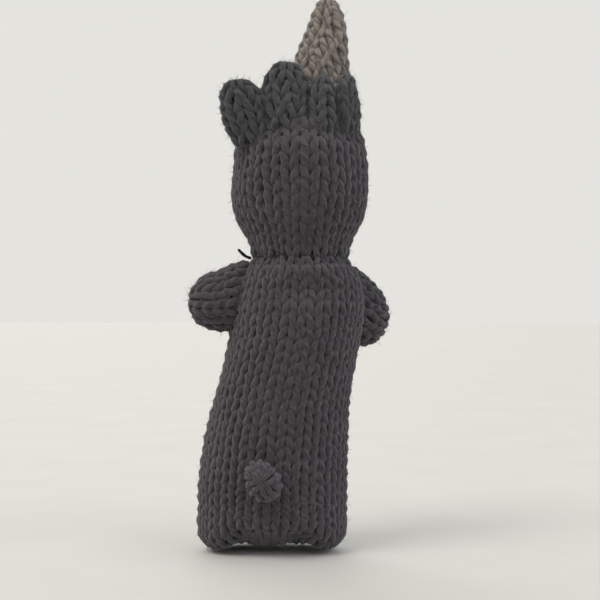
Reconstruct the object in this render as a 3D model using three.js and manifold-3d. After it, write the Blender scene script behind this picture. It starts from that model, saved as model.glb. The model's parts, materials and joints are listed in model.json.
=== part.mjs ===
// A hand-knitted finger puppet of a horned animal, in millimetres, +Z up, its face towards -Y.
// One knitted tube is open at the hem, takes a finger, is drawn in at the neck and is stuffed above it as
// the head. The ears, crown lobes, horn, muzzle, arms and tail are knitted separately and sewn on by
// their roots.

import * as THREE from "three";
import { mergeVertices } from "three/addons/utils/BufferGeometryUtils.js";
import Module from "manifold-3d";

const wasm = await Module();
wasm.setup();

// ---- driving dimensions ----

const FABRIC = 2.2; // thickness of the knitted fabric
const THIN_FABRIC = 1.6; // thickness of the small sewn-on pieces' fabric
const GAP = 0.35; // clearance between pieces that touch on the real object
const AXIS_Y = 2.2; // the tube's axis, behind the middle of the box because the muzzle reaches forward

// The tube keeps one girth all the way up, so where it is wide it is shallow.
const TUBE_MEAN_RADIUS = 14.05;
const TUBE_TOP = 57.2;
const TUBE_HALF_WIDTHS = [
  [0, 16.5],
  [9, 16.5],
  [21.7, 16.0],
  [32.6, 14.9],
  [42, 14.5],
  [TUBE_TOP, 14.3],
];
const SHOULDER_INSET = 1.4; // how far the shoulders draw in towards the neck
const SHOULDER_START = 52.5;
const SHOULDER_RISE = 3; // how much higher the tube's upper edge is at its sides, above the arms
const SHOULDER_RAMP = 4; // how far below the shoulders that rise begins
const HEM_INSET = 1.9; // how far the curled hem turns in at the floor
const HEM_CURL_HEIGHT = 4;
const HEM_ARCH_RISE = 5.2; // the back of the hem lifts off the floor
const HEM_ARCH_HALF_ANGLE = THREE.MathUtils.degToRad(68);
const HEM_ARCH_FADE = 14; // height at which the lift has died out
const ARCH_CROWN = 0.87; // cosine of the angle within which the arch is level

// The tube leans: its centre is at HEM_X near the floor and at NECK_X at the shoulders.
const HEM_X = 3.9;
const NECK_X = -2.1;
const LEAN_START = 12;
const LEAN_END = 58;

const NECK_Z = 63.5;
const NECK_BAND_RADIUS = 9.8;
const NECK_BAND_HALF_HEIGHT = 2.4;
const NECK_THREAD_RADIUS = 0.45;

// The head's outline: half-width and height, from the opening at the neck to the top of the crown.
const HEAD_Y = -0.6; // the head hangs a little forward of the tube's axis
const HEAD_DEPTH_RATIO = 1.07;
const HEAD_OUTLINE = [
  [10.8, 66.5],
  [12.1, 67.9],
  [13.6, 71.7],
  [14.8, 79.2],
  [14.3, 87],
  [13.4, 90.4],
  [10.6, 94.3],
  [6, 96.8],
  [0, 97.6],
];

const HORN_HEIGHT = 24.6;
const HORN_OUTLINE = [
  [7.1, -0.8],
  [7.2, 2],
  [6.7, 8],
  [5.5, 14.5],
  [3.9, 20.4],
  [2.6, 23.4],
  [0, HORN_HEIGHT],
];
const HORN_SWING = [-12, 12];

// An arm's outline along its own axis, from the root on the tube's side to the rounded end.
const ARM_OUTLINE = [
  [2.6, -1.5],
  [5.2, -0.6],
  [6.8, 1.6],
  [7.2, 4.2],
  [6.5, 6.8],
  [4.4, 8.7],
  [0, 9.5],
];
const ARM_SWING = [-25, 35]; // degrees, down to up
const TAIL_RADIUS = 3.3;
const TAIL_Z = 17;
const TAIL_X = 5.7;
const TAIL_SWING = [-20, 20];

const MUZZLE_RADIUS = 7.3;
const MUZZLE_REACH = 5.4; // how far it stands out of the face
const MUZZLE_Z = 75.5;
const MUZZLE_FLATNESS = 0.84; // height as a share of width
const EYE_RADIUS = 1.7;
const EYE_SUNK = 0.65; // how deep a bead sits in the dimple that its thread pulls, as a share of its radius
const EYE_SPREAD = 5.6;
const EYE_Z = 84.5;

// ---- materials ----

const charcoalYarn = () => new THREE.MeshStandardMaterial({ color: 0x47434a, roughness: 0.95, metalness: 0 });
const hornYarn = () => new THREE.MeshStandardMaterial({ color: 0x8a8078, roughness: 0.95, metalness: 0 });
const fibrefill = () => new THREE.MeshStandardMaterial({ color: 0xe9e6df, roughness: 1, metalness: 0 });
const bead = () => new THREE.MeshStandardMaterial({ color: 0x0b0b0d, roughness: 0.15, metalness: 0 });
const blackThread = () => new THREE.MeshStandardMaterial({ color: 0x1a191c, roughness: 0.9, metalness: 0 });

// ---- geometry helpers ----

const smooth = THREE.MathUtils.smoothstep;
const vector = (x, y, z) => new THREE.Vector3(x, y, z);
const leanX = (z) => HEM_X + (NECK_X - HEM_X) * smooth(z, LEAN_START, LEAN_END);

// A smooth outline through [radius, height] pairs.
function outlineThrough(pairs, steps) {
  const curve = new THREE.SplineCurve(pairs.map(([r, z]) => new THREE.Vector2(r, z)));
  const points = curve.getPoints(steps);
  points.forEach((p) => (p.x = Math.max(0, p.x)));
  return points;
}

// The outline moved inwards by a distance along its own normals; points on the axis stay on it.
function inset(outline, distance) {
  return outline.map((p, i) => {
    const before = outline[Math.max(0, i - 1)];
    const after = outline[Math.min(outline.length - 1, i + 1)];
    const along = after.clone().sub(before).normalize();
    if (p.x === 0) return new THREE.Vector2(0, p.y - distance);
    return new THREE.Vector2(Math.max(0.4, p.x - distance * along.y), p.y + distance * along.x);
  });
}

// An open-bottomed shell between an outline that ends on the axis and the same outline inset by its wall.
const shellProfile = (outline, wall) => [...inset(outline, wall).reverse(), ...outline];

// A solid that fills an outline, closed across the bottom.
const solidProfile = (outline) => [new THREE.Vector2(0, outline[0].y), ...outline];

// A profile turned round +Z; its depth along Y is the given share of its width.
function turned(profile, segments, depthRatio = 1) {
  const geometry = new THREE.LatheGeometry(profile, segments);
  geometry.rotateX(Math.PI / 2);
  geometry.scale(1, depthRatio, 1);
  return geometry;
}

// A three.js geometry as a manifold solid.
function solidOf(geometry) {
  const bare = geometry.clone();
  bare.deleteAttribute("normal");
  bare.deleteAttribute("uv");
  const merged = mergeVertices(bare, 1e-4);
  const triVerts = new Uint32Array(merged.index.array);
  const vertProperties = merged.attributes.position.array;
  return new wasm.Manifold(new wasm.Mesh({ numProp: 3, vertProperties, triVerts }));
}

function geometryOf(solid) {
  const mesh = solid.getMesh();
  const geometry = new THREE.BufferGeometry();
  geometry.setAttribute("position", new THREE.BufferAttribute(mesh.vertProperties, 3));
  geometry.setIndex(new THREE.BufferAttribute(mesh.triVerts, 1));
  geometry.computeVertexNormals();
  return geometry;
}

// The piece with room left for its neighbour at every stage of its swing about a hinge.
function trimmedForSwing(piece, neighbour, hinge, axis, [least, most]) {
  let solid = solidOf(piece);
  const stages = 8;
  for (let i = 0; i <= stages; i++) {
    const angle = THREE.MathUtils.degToRad(least + ((most - least) * i) / stages);
    const turn = new THREE.Matrix4().makeTranslation(hinge.x, hinge.y, hinge.z);
    turn.multiply(new THREE.Matrix4().makeRotationAxis(axis, -angle));
    turn.multiply(new THREE.Matrix4().makeTranslation(-hinge.x, -hinge.y, -hinge.z));
    solid = solid.subtract(solidOf(neighbour.clone().applyMatrix4(turn)));
  }
  return geometryOf(solid);
}

// A geometry built along +Z from the origin, turned to point along a direction and moved to a root.
function planted(geometry, root, direction) {
  const turn = new THREE.Quaternion().setFromUnitVectors(vector(0, 0, 1), direction);
  return geometry.applyQuaternion(turn).translate(root.x, root.y, root.z);
}

function piece(name, geometry, material) {
  const mesh = new THREE.Mesh(geometry, material);
  mesh.name = name;
  return mesh;
}

// ---- the tube ----

function tubeHalfWidth(z) {
  const next = Math.max(1, TUBE_HALF_WIDTHS.findIndex(([height]) => height >= Math.min(z, TUBE_TOP)));
  const [lowZ, lowWidth] = TUBE_HALF_WIDTHS[next - 1];
  const [highZ, highWidth] = TUBE_HALF_WIDTHS[next];
  return THREE.MathUtils.lerp(lowWidth, highWidth, (Math.min(z, TUBE_TOP) - lowZ) / (highZ - lowZ));
}

// The tube's oval section at a height, drawn in by a wall thickness; a negative one makes it larger.
function tubeSection(z, wall) {
  const curl = HEM_INSET * Math.max(0, 1 - z / HEM_CURL_HEIGHT) ** 2;
  const shoulder = SHOULDER_INSET * Math.max(0, (z - SHOULDER_START) / (TUBE_TOP - SHOULDER_START)) ** 2;
  const drawnIn = curl + shoulder + wall;
  const width = tubeHalfWidth(z) - drawnIn;
  const depth = 2 * TUBE_MEAN_RADIUS - tubeHalfWidth(z) - drawnIn;
  return { z, width, depth };
}

// Oval sections joined into one surface that follows the lean of the tube.
function leaningSurface(sections, segments) {
  const profile = sections.map((s) => new THREE.Vector2(s.width, s.z));
  const geometry = turned(profile, segments);
  const position = geometry.attributes.position;
  for (let i = 0; i < position.count; i++) {
    const { z, width, depth } = sections[i % sections.length];
    const x = position.getX(i);
    const y = position.getY(i);
    const fromBack = Math.abs(Math.atan2(x, y));
    const arch = smooth(Math.cos(fromBack), Math.cos(HEM_ARCH_HALF_ANGLE), ARCH_CROWN);
    const lift = HEM_ARCH_RISE * arch * Math.max(0, 1 - z / HEM_ARCH_FADE);
    const nearTop = smooth(z, SHOULDER_START - SHOULDER_RAMP, TUBE_TOP);
    const shoulder = SHOULDER_RISE * Math.sin(fromBack) ** 4 * nearTop;
    position.setXYZ(i, leanX(z) + x, AXIS_Y + (width ? (y * depth) / width : 0), z + lift + shoulder);
  }
  return geometry;
}

function tubeGeometry() {
  const heights = [0, 0.8, 2, 4, 9, 15, 21.7, 27, 32.6, 37, 42, 47.5, SHOULDER_START, 55, TUBE_TOP];
  const outer = heights.map((z) => tubeSection(z, 0));
  const inner = heights.map((z) => tubeSection(z, FABRIC)).reverse();
  return leaningSurface([...inner, ...outer, inner[0]], 30);
}

// A solid a little larger than the tube, for clearing the pieces that are sewn to it.
function tubeEnvelope() {
  const heights = [2, 9, 21.7, 32.6, 42, 47.5, SHOULDER_START, 55, TUBE_TOP, TUBE_TOP + GAP];
  const sides = heights.map((z) => tubeSection(z, -GAP));
  const rim = tubeSection(TUBE_TOP + GAP, FABRIC);
  const cap = (z) => ({ z, width: 0, depth: 0 });
  const geometry = leaningSurface([cap(2), ...sides, rim, cap(TUBE_TOP + GAP)], 30);
  return geometryOf(solidOf(geometry));
}

// ---- the neck and the head ----

const neckPoint = vector(NECK_X, AXIS_Y, NECK_Z);

function neckBandGeometry() {
  const arc = Math.asin(NECK_BAND_HALF_HEIGHT / NECK_BAND_RADIUS);
  const outer = [];
  for (let i = 0; i <= 4; i++) {
    const angle = -arc + (2 * arc * i) / 4;
    outer.push(new THREE.Vector2(NECK_BAND_RADIUS * Math.cos(angle), NECK_BAND_RADIUS * Math.sin(angle)));
  }
  const inner = outer.map((p) => new THREE.Vector2(p.x - FABRIC, p.y)).reverse();
  return turned([...inner, ...outer, inner[0]], 24).translate(...neckPoint);
}

function neckThreadGeometry() {
  const ringRadius = NECK_BAND_RADIUS + GAP + NECK_THREAD_RADIUS;
  return new THREE.TorusGeometry(ringRadius, NECK_THREAD_RADIUS, 6, 28).translate(...neckPoint);
}

// The cut end of the gathering thread, sticking out beside the neck.
function neckThreadEndGeometry() {
  const start = neckPoint.clone().add(vector(NECK_BAND_RADIUS + 2 * NECK_THREAD_RADIUS + 2 * GAP, 0.4, 0.3));
  const end = start.clone().add(vector(1.9, 0.7, 1.5));
  const length = start.distanceTo(end);
  const strand = new THREE.CylinderGeometry(0.25, NECK_THREAD_RADIUS, length, 8);
  strand.rotateX(Math.PI / 2).translate(0, 0, length / 2);
  return planted(strand, start, end.clone().sub(start).normalize());
}

const headOutline = outlineThrough(HEAD_OUTLINE, 14);
const headAt = (geometry) => geometry.translate(NECK_X, AXIS_Y + HEAD_Y, 0);
const headGeometry = (profile, segments) => headAt(turned(profile, segments, HEAD_DEPTH_RATIO));
const headEnvelope = headGeometry(solidProfile(inset(headOutline, -GAP)), 20);

// The height of the head's upper surface at an offset from its own axis.
function headTopZ(dx, dy) {
  const radius = Math.hypot(dx, dy / HEAD_DEPTH_RATIO);
  const upper = headOutline.filter((p) => p.y > HEAD_OUTLINE[3][1]);
  const next = upper.findIndex((p) => p.x <= radius);
  const [wide, narrow] = [upper[next - 1], upper[next]];
  return THREE.MathUtils.mapLinear(radius, wide.x, narrow.x, wide.y, narrow.y);
}

// A point on the head's upper surface.
const onHead = (dx, dy) => vector(NECK_X + dx, AXIS_Y + HEAD_Y + dy, headTopZ(dx, dy));

// The Y of the face's surface at a height and a sideways offset.
function faceY(dx, z) {
  const side = headOutline.findIndex((p) => p.y >= z);
  const [low, high] = [headOutline[side - 1], headOutline[side]];
  const radius = THREE.MathUtils.mapLinear(z, low.y, high.y, low.x, high.x);
  return AXIS_Y + HEAD_Y - HEAD_DEPTH_RATIO * Math.sqrt(radius ** 2 - dx ** 2);
}

// ---- pieces sewn to the head ----

// An upright lobe: an ellipsoid on its root, turned about the vertical, then tipped back and outwards.
function lobeGeometry(half, root, facing, tipBack, tipOut) {
  const rad = THREE.MathUtils.degToRad;
  const lobe = new THREE.SphereGeometry(1, 16, 10);
  lobe.rotateX(Math.PI / 2).scale(...half);
  lobe.translate(0, 0, half[2]);
  lobe.rotateX(-rad(tipBack));
  lobe.rotateZ(rad(facing));
  lobe.rotateY(rad(tipOut));
  return lobe.translate(...root);
}

// The left ear faces straight back. The right one is turned nearly edge-on, close to the crown lobe
// beside it. Angles are in degrees, and a swing runs from backwards or outwards to forwards or inwards.
const EARS = {
  left_ear: {
    root: onHead(11.1, 9.0),
    half: [5.2, 3.0, 6.2],
    facing: 0,
    tipBack: 12,
    tipOut: 6,
    swing: [-30, 15],
  },
  right_ear: {
    root: onHead(-10.8, 6.9),
    half: [5.4, 2.5, 5.6],
    facing: 70,
    tipBack: 5,
    tipOut: 2,
    swing: [-30, 4],
  },
};

function earPiece(name) {
  const { root, facing, tipBack, tipOut, half, swing } = EARS[name];
  const axis = vector(1, 0, 0).applyAxisAngle(vector(0, 0, 1), THREE.MathUtils.degToRad(facing));
  const lobe = lobeGeometry(half, root, facing, tipBack, tipOut);
  return piece(name, trimmedForSwing(lobe, headEnvelope, root, axis, swing), charcoalYarn());
}

const CROWN_LOBES = {
  crown_lobe_left: { root: onHead(1.9, 8.6), half: [4.1, 3.6, 4.8] },
  crown_lobe_right: { root: onHead(-4.8, 9.4), half: [2.9, 3.0, 3.9] },
};

function crownLobePiece(name) {
  const { root, half } = CROWN_LOBES[name];
  const lobe = solidOf(lobeGeometry(half, root, 0, 6, 0)).subtract(solidOf(headEnvelope));
  return piece(name, geometryOf(lobe), charcoalYarn());
}

const hornRoot = onHead(-4.6, -4.4);
const hornDirection = vector(-0.045, 0, 1).normalize();

function hornPieces() {
  const outline = outlineThrough(HORN_OUTLINE, 9);
  const plant = (profile) => {
    const cone = planted(turned(profile, 16), hornRoot, hornDirection);
    return trimmedForSwing(cone, headEnvelope, hornRoot, vector(0, 1, 0), HORN_SWING);
  };
  const stuffing = inset(outline, THIN_FABRIC + GAP);
  return [
    piece("horn_skin", plant(shellProfile(outline, THIN_FABRIC)), hornYarn()),
    piece("horn_stuffing", plant(solidProfile(stuffing)), fibrefill()),
  ];
}

// ---- the face ----

const muzzleOutline = outlineThrough(
  [
    [MUZZLE_RADIUS, -3],
    [MUZZLE_RADIUS, 0],
    [MUZZLE_RADIUS * 0.92, MUZZLE_REACH * 0.55],
    [MUZZLE_RADIUS * 0.55, MUZZLE_REACH * 0.92],
    [0, MUZZLE_REACH],
  ],
  8,
);

function muzzlePieces() {
  const root = vector(NECK_X, faceY(0, MUZZLE_Z), MUZZLE_Z);
  const plant = (profile) => {
    const dome = planted(turned(profile, 18, MUZZLE_FLATNESS), root, vector(0, -1, 0));
    return geometryOf(solidOf(dome).subtract(solidOf(headEnvelope)));
  };
  const stuffing = inset(muzzleOutline, THIN_FABRIC + GAP);
  return [
    piece("muzzle_skin", plant(shellProfile(muzzleOutline, THIN_FABRIC)), hornYarn()),
    piece("muzzle_stuffing", plant(solidProfile(stuffing)), fibrefill()),
  ];
}

// A point just off the muzzle's front, at an offset from its middle.
function offMuzzle(dx, dz, clearance) {
  const radius = Math.hypot(dx, dz / MUZZLE_FLATNESS);
  const next = muzzleOutline.findIndex((p, i) => i > 0 && p.x <= radius);
  const [wide, narrow] = [muzzleOutline[next - 1], muzzleOutline[next]];
  const reach = THREE.MathUtils.mapLinear(radius, wide.x, narrow.x, wide.y, narrow.y);
  const slope = 1 + (0.6 * radius) / MUZZLE_RADIUS; // a sloping surface needs more room straight ahead of it
  return vector(NECK_X + dx, faceY(0, MUZZLE_Z) - reach - clearance * slope, MUZZLE_Z + dz);
}

// The middle of an eye bead, on the puppet's left (1) or right (-1).
function eyeCentre(side) {
  const outwards = EYE_RADIUS * (1 - EYE_SUNK);
  return vector(NECK_X + side * EYE_SPREAD, faceY(EYE_SPREAD, EYE_Z) - outwards, EYE_Z);
}

function eyePiece(name, side) {
  return piece(name, new THREE.SphereGeometry(EYE_RADIUS, 12, 8).translate(...eyeCentre(side)), bead());
}

// The head's fabric, with a dimple for each eye bead.
function headSkinPiece() {
  let skin = solidOf(headGeometry(shellProfile(headOutline, FABRIC), 28));
  for (const side of [1, -1]) {
    const dimple = new THREE.SphereGeometry(EYE_RADIUS + GAP, 12, 8).translate(...eyeCentre(side));
    skin = skin.subtract(solidOf(dimple));
  }
  return piece("head_skin", geometryOf(skin), charcoalYarn());
}

// A stitch of thread lying on the muzzle, through the given points.
function stitchPiece(name, points, radius) {
  const section = new THREE.Shape(new THREE.Path().absarc(0, 0, radius, 0, 2 * Math.PI).getPoints(3));
  const extrudePath = new THREE.CatmullRomCurve3(points);
  const options = { steps: 6, bevelEnabled: false, extrudePath };
  return piece(name, new THREE.ExtrudeGeometry(section, options), blackThread());
}

function faceStitches() {
  const radius = 0.4;
  const along = (pairs) => pairs.map(([dx, dz]) => offMuzzle(dx, dz, radius + GAP));
  const nostril = (side) => [1.2, 2, 2.8].map((dz) => [side * 1.9, dz]);
  const mouth = [-3.2, -1.7, 0, 1.7, 3.2].map((dx) => [dx, -2.8 + 0.12 * dx ** 2]);
  return [
    stitchPiece("left_nostril_stitch", along(nostril(1)), radius),
    stitchPiece("right_nostril_stitch", along(nostril(-1)), radius),
    stitchPiece("mouth_stitch", along(mouth), radius),
  ];
}

// ---- pieces sewn to the tube ----

// A point on the tube's side, by height and by the angle from +X towards +Y.
function onTube(z, degrees) {
  const angle = THREE.MathUtils.degToRad(degrees);
  const { width, depth } = tubeSection(z, 0);
  return vector(leanX(z) + width * Math.cos(angle), AXIS_Y + depth * Math.sin(angle), z);
}

// The left arm sticks out sideways; the right one is turned forward and hangs lower.
const ARMS = {
  left_arm: { root: onTube(54.2, 0), direction: vector(1, 0, 0.02) },
  right_arm: { root: onTube(51.4, 219), direction: vector(-0.77, -0.57, -0.2) },
};

function armPieces(name, tube) {
  const { root, direction } = ARMS[name];
  const axis = vector(direction.y, -direction.x, 0).normalize(); // a turn about it raises the arm
  const outline = outlineThrough(ARM_OUTLINE, 9);
  const plant = (profile) => {
    const stub = planted(turned(profile, 16), root, direction.clone().normalize());
    return trimmedForSwing(stub, tube, root, axis, ARM_SWING);
  };
  const stuffing = inset(outline, THIN_FABRIC + GAP);
  return [
    piece(name + "_skin", plant(shellProfile(outline, THIN_FABRIC)), charcoalYarn()),
    piece(name + "_stuffing", plant(solidProfile(stuffing)), fibrefill()),
  ];
}

function tailPiece(tube) {
  const { width, depth } = tubeSection(TAIL_Z, 0);
  const dx = TAIL_X - leanX(TAIL_Z);
  const root = vector(TAIL_X, AXIS_Y + depth * Math.sqrt(1 - (dx / width) ** 2), TAIL_Z);
  const ball = new THREE.SphereGeometry(TAIL_RADIUS, 14, 9);
  ball.translate(root.x, root.y + TAIL_RADIUS * 0.85 + GAP, root.z);
  return piece("tail_bobble", trimmedForSwing(ball, tube, root, vector(0, 0, 1), TAIL_SWING), charcoalYarn());
}

// ---- assembly ----

function build() {
  const puppet = new THREE.Group();
  const tube = tubeEnvelope();
  puppet.add(piece("body_tube", tubeGeometry(), charcoalYarn()));
  puppet.add(piece("neck_band", neckBandGeometry(), charcoalYarn()));
  puppet.add(piece("neck_gather_thread", neckThreadGeometry(), blackThread()));
  puppet.add(piece("neck_thread_end", neckThreadEndGeometry(), blackThread()));
  puppet.add(headSkinPiece());
  const headFill = solidProfile(inset(headOutline, FABRIC + GAP));
  puppet.add(piece("head_stuffing", headGeometry(headFill, 18), fibrefill()));
  Object.keys(EARS).forEach((name) => puppet.add(earPiece(name)));
  Object.keys(CROWN_LOBES).forEach((name) => puppet.add(crownLobePiece(name)));
  puppet.add(...hornPieces());
  puppet.add(...muzzlePieces());
  puppet.add(eyePiece("left_eye_bead", 1));
  puppet.add(eyePiece("right_eye_bead", -1));
  puppet.add(...faceStitches());
  Object.keys(ARMS).forEach((name) => puppet.add(...armPieces(name, tube)));
  puppet.add(tailPiece(tube));
  return puppet;
}

export default build();
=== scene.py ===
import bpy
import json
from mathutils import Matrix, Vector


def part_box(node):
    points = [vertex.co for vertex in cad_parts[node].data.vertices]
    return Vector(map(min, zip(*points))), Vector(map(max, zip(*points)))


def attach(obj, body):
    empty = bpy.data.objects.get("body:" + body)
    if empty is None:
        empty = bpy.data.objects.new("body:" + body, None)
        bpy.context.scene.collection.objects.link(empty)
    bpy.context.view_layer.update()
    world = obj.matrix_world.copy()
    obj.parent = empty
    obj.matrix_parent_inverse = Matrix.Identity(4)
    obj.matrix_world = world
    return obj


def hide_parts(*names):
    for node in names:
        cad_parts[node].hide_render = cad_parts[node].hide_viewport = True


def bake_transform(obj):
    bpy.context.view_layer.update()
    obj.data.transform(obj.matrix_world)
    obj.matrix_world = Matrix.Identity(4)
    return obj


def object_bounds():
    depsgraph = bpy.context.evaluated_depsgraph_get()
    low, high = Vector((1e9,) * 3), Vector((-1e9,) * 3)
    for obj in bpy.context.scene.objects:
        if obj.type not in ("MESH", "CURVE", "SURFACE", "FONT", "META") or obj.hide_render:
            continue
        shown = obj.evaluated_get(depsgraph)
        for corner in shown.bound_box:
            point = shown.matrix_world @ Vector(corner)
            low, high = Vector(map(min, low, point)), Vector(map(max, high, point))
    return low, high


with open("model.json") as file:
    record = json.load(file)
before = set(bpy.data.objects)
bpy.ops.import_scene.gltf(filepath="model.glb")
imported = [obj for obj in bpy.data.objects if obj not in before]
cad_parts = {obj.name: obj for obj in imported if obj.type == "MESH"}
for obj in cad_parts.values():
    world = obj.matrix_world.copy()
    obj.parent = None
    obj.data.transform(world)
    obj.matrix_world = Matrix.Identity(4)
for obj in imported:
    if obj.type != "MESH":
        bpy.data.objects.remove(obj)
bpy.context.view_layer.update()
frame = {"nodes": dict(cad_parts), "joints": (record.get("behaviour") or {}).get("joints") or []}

# Looks for a hand-knitted finger puppet, built round its imported frame.
# Every knitted piece is real yarn, one closed strand a course, looped into stitches over a surface of rings.
# A thin sheet of matted fibre lies behind the loops, coloured far darker than the yarn as painted shade
# between them, and loose fibres stand off them.
# The rings start from the frame's solids.

import json
import math

import bpy
import numpy as np
from mathutils import Vector
from mathutils.bvhtree import BVHTree

joints = {j["name"]: j for j in frame["joints"]}

MM = 0.001
TAU = 2 * math.pi

# ---- the knitting ----

YARN_RADIUS = 0.76 * MM
LOOP_SWAY = 1.35  # how far a loop swings sideways, in radians, where a whole stitch is one turn
LOOP_RISE = 0.98  # height of a loop above and below its own course, in rows
LOOP_DEPTH = 0.66 * MM  # how far the legs stand out in front, and the loop heads lie behind
POINTS_PER_STITCH = 16
YARN_SIDES = 8
PLY_DEPTH = 0.10  # relief of the two plies in the yarn's section
TWIST_PITCH = 4.2 * MM
FABRIC_INSET = 1.35 * MM  # from a piece's outer face to the middle of its fabric
CLOSED_RADIUS = 0.25 * MM  # of the ring that closes a piece
LAYER_THICKNESS = 0.3 * MM
FUZZ_LENGTH = 0.9 * MM
FUZZ_RADIUS = 0.028 * MM
FUZZ_SIDES = 3

BODY_WALES = 24
BODY_ROW = 2.6 * MM
HEAD_WALES = 22
HEAD_ROW = 2.7 * MM
HEAD_YARN_RADIUS = 0.82 * MM
LOBE_STITCH = 3.3 * MM
LOBE_ROW = 2.3 * MM
LOBE_YARN_RADIUS = 0.7 * MM
ARM_STITCH = 3.5 * MM
ARM_ROW = 2.3 * MM
HORN_STITCH = 3.5 * MM
HORN_ROW = 2.6 * MM
TAIL_STITCH = 2.8 * MM
TAIL_ROW = 1.9 * MM
TAIL_YARN_RADIUS = 0.62 * MM
MUZZLE_STITCH = 3.1 * MM
MUZZLE_ROW = 2.0 * MM
MUZZLE_YARN_RADIUS = 0.66 * MM


# ---- arrays and surfaces ----


def unit(v):
    return v / np.maximum(np.linalg.norm(v, axis=-1, keepdims=True), 1e-12)


def smoothstep(x):
    x = np.clip(x, 0, 1)
    return x * x * (3 - 2 * x)


def catmull_rom(points, per_span=12):
    """A smooth curve through the rows of an array."""
    padded = np.vstack([2 * points[0] - points[1], points, 2 * points[-1] - points[-2]])
    t = np.linspace(0, 1, per_span, endpoint=False)[:, None]
    spans = []
    for a, b, c, d in zip(padded, padded[1:], padded[2:], padded[3:]):
        span = 2 * b + (c - a) * t
        span = span + (2 * a - 5 * b + 4 * c - d) * t**2
        spans.append(0.5 * (span + (3 * b - a - 3 * c + d) * t**3))
    return np.vstack([*spans, points[-1:]])


def lumps(seed, height, wavelength):
    """Soft unevenness: a displacement for points, from a few seeded plane waves."""
    rng = np.random.default_rng(seed)
    waves = unit(rng.normal(size=(7, 3))) * TAU / (wavelength * rng.uniform(0.7, 1.5, (7, 1)))
    phases = rng.uniform(0, TAU, 7)
    return lambda points, *place: height * np.sin(points @ waves.T + phases).mean(-1) * 1.8


class Tube:
    """A surface of oval rings. Each ring is a centre and two half-axis vectors.

    A place on it is u, from 0 to 1 round it, and s, in metres along it. Relief displaces it along its own
    normal, and warp then moves its points.
    """

    def __init__(self, rings, relief, warp=None):
        self.dense = catmull_rom(np.array(rings, float).reshape(len(rings), 9))
        self.relief = relief
        self.warp = warp
        angles = np.arange(8) * TAU / 8
        outline = np.stack([self._oval(self.dense, a) for a in angles], 1)
        steps = np.linalg.norm(np.diff(outline, axis=0), axis=-1).mean(-1)
        self.along = np.concatenate([[0], np.cumsum(steps)])
        self.length = self.along[-1]

    @staticmethod
    def _oval(ring, angle):
        first, second = np.cos(angle)[..., None], np.sin(angle)[..., None]
        return ring[..., 0:3] + ring[..., 3:6] * first + ring[..., 6:9] * second

    def ring(self, s):
        return np.stack([np.interp(s, self.along, self.dense[:, k]) for k in range(9)], -1)

    def bare(self, u, s):
        return self._oval(self.ring(s), TAU * u)

    def facing(self, surface, u, s):
        du, ds = 2e-3, 2e-4
        low, high = np.maximum(s - ds, 0), np.minimum(s + ds, self.length)
        round_it = surface(u + du, s) - surface(u - du, s)
        up_it = surface(u, high) - surface(u, low)
        return unit(np.cross(round_it, up_it))

    def point(self, u, s):
        points = self.bare(u, s)
        points = points + self.facing(self.bare, u, s) * self.relief(points, u, s)[..., None]
        return self.warp(points) if self.warp else points

    def normal(self, u, s):
        return self.facing(self.point, u, s)

    def girth(self, s):
        """The length round the bare oval, by Ramanujan's formula."""
        ring = self.ring(np.atleast_1d(s))
        a, b = np.linalg.norm(ring[:, 3:6], axis=-1), np.linalg.norm(ring[:, 6:9], axis=-1)
        return float((math.pi * (3 * (a + b) - np.sqrt((3 * a + b) * (a + 3 * b))))[0])


# ---- meshes ----


def mesh_object(name, points, faces, material, uv=None):
    mesh = bpy.data.meshes.new(name)
    mesh.from_pydata(np.asarray(points).tolist(), [], np.asarray(faces).tolist())
    if uv is not None:
        layer = mesh.uv_layers.new(name="strand")
        layer.data.foreach_set("uv", np.asarray(uv, np.float32).ravel())
    mesh.polygons.foreach_set("use_smooth", np.ones(len(mesh.polygons), bool))
    mesh.materials.append(material)
    obj = bpy.data.objects.new(name, mesh)
    bpy.context.scene.collection.objects.link(obj)
    return obj


def sweep(path, up, radius, closed, ply):
    """A round strand along a path: its points, its quads, each corner's place along and round it, and the
    way outwards at each point."""
    n, sides = len(path), YARN_SIDES
    if closed:
        tangent = unit(np.roll(path, -1, 0) - np.roll(path, 1, 0))
        gaps = np.linalg.norm(np.roll(path, -1, 0) - path, axis=-1)
    else:
        tangent = unit(np.gradient(path, axis=0))
        gaps = np.linalg.norm(np.diff(path, axis=0), axis=-1)
    along = np.concatenate([[0], np.cumsum(gaps)])
    side = unit(np.cross(tangent, up))
    over = np.cross(side, tangent)
    turns = max(1, round(along[-1] / TWIST_PITCH)) if closed else along[-1] / TWIST_PITCH
    twist = TAU * turns * along[:n] / along[-1]
    theta = np.arange(sides) * TAU / sides
    reach = np.broadcast_to(radius, (n,))[:, None] * (1 + ply * np.cos(2 * (theta - twist[:, None])))
    direction = np.cos(theta)[None, :, None] * side[:, None] + np.sin(theta)[None, :, None] * over[:, None]
    points = (path[:, None] + reach[..., None] * direction).reshape(-1, 3)
    spans = n if closed else n - 1
    i, k = np.meshgrid(np.arange(spans), np.arange(sides), indexing="ij")
    i, k = i.ravel(), k.ravel()
    j, m = (i + 1) % n, (k + 1) % sides
    quads = np.stack([i * sides + k, j * sides + k, j * sides + m, i * sides + m], -1)
    x, y = along / TWIST_PITCH, np.arange(sides + 1) / sides
    uv = np.stack([np.stack([x[i + a], y[k + b]], -1) for a, b in ((0, 0), (1, 0), (1, 1), (0, 1))], 1)
    return points, quads, uv, direction.reshape(-1, 3)


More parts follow.
